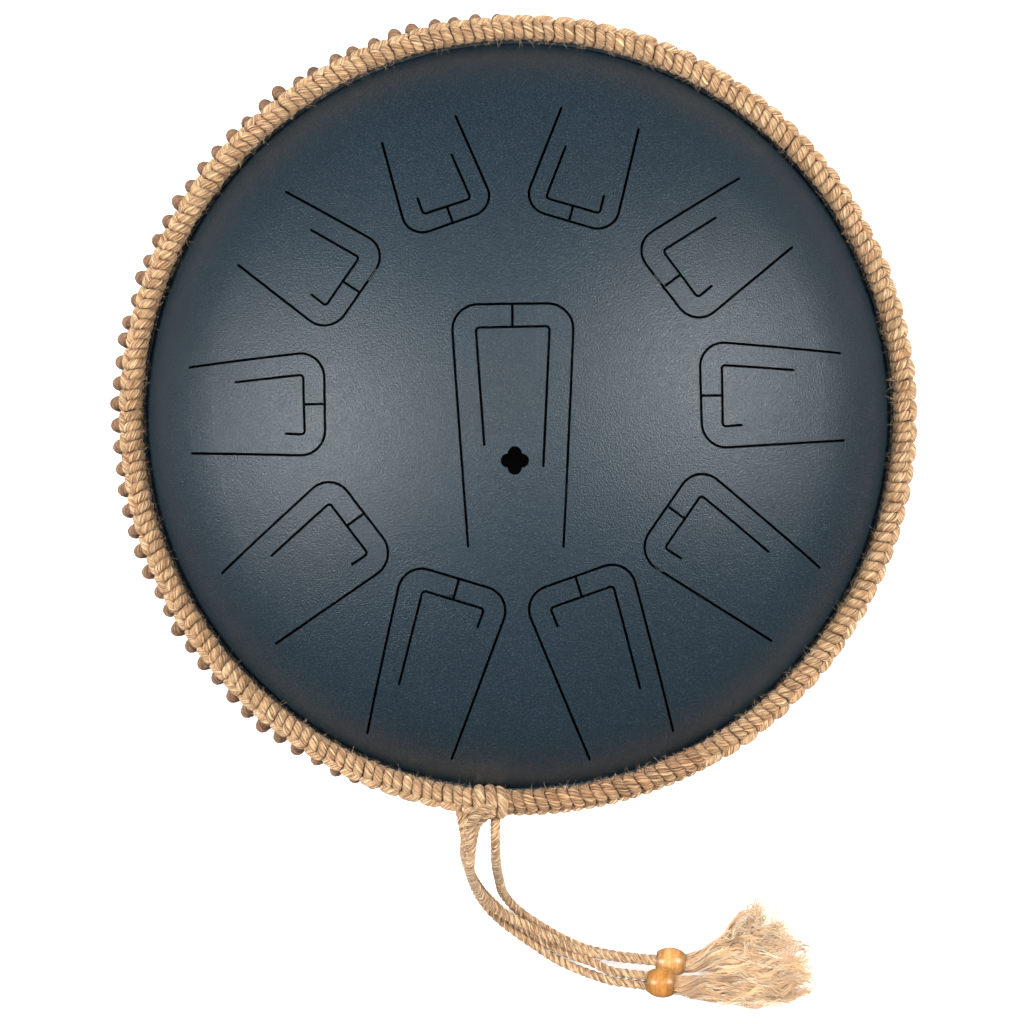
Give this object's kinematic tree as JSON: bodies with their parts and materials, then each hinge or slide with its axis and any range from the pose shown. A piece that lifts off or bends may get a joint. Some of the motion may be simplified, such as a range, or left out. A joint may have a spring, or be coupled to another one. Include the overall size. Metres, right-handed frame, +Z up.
{
  "type": "steel tongue drum",
  "caption": "Domed steel hand percussion drum with laser-cut tongues, cord-bound rim, rubber feet and beaded, tasselled cord tails.",
  "frame": {"origin": "on the drum's axis in the plane that the feet stand on", "axes": "+Z up along the drum's axis; the cord tails leave the rim on the -Y side; the off-centre tongue pattern is shifted towards +Y"},
  "size_m": [0.354, 0.453, 0.1606],
  "materials": {
    "shell_coat": "matt navy powder coat with a fine sandy grain",
    "bond": "cured black rim adhesive",
    "foot_rubber": "matt moulded rubber",
    "fastener": "zinc plated",
    "jute": "twisted three-ply jute cord",
    "core_cord": "plain jute core cord",
    "bead_wood": "honey varnished turned wood",
    "jute_fibre": "combed-out jute fibre"
  },
  "bodies": {
    "drum": {"upper_shell": "shell_coat", "lower_shell": "shell_coat", "rim_bond": "bond", "foot_front_left": "foot_rubber", "foot_front_right": "foot_rubber", "foot_back_left": "foot_rubber", "foot_back_right": "foot_rubber", "foot_screws": "fastener", "foot_washers": "fastener", "foot_nuts": "fastener", "upper_rope_wrap": "jute", "lower_rope_wrap": "jute", "rope_side_lacing": "jute", "tail_whipping": "jute", "exit_knot": "jute", "upper_rope_core": "core_cord", "lower_rope_core": "core_cord", "tail_cord_1": "jute", "tail_cord_2": "jute", "tail_cord_3": "jute", "tail_cord_4": "jute", "upper_tassel": "jute_fibre", "lower_tassel": "jute_fibre"},
    "upper_bead": {"upper_bead": "bead_wood"},
    "lower_bead": {"lower_bead": "bead_wood"}
  },
  "joints": [
    {"name": "upper_bead_slide", "type": "slide", "parent": "drum", "child": "upper_bead", "axis": [-0.9945, 0.1045, 0], "range_m": [0, 0.006]},
    {"name": "lower_bead_slide", "type": "slide", "parent": "drum", "child": "lower_bead", "axis": [-0.9848, 0.1035, -0.1392], "range_m": [0, 0.006]}
  ]
}
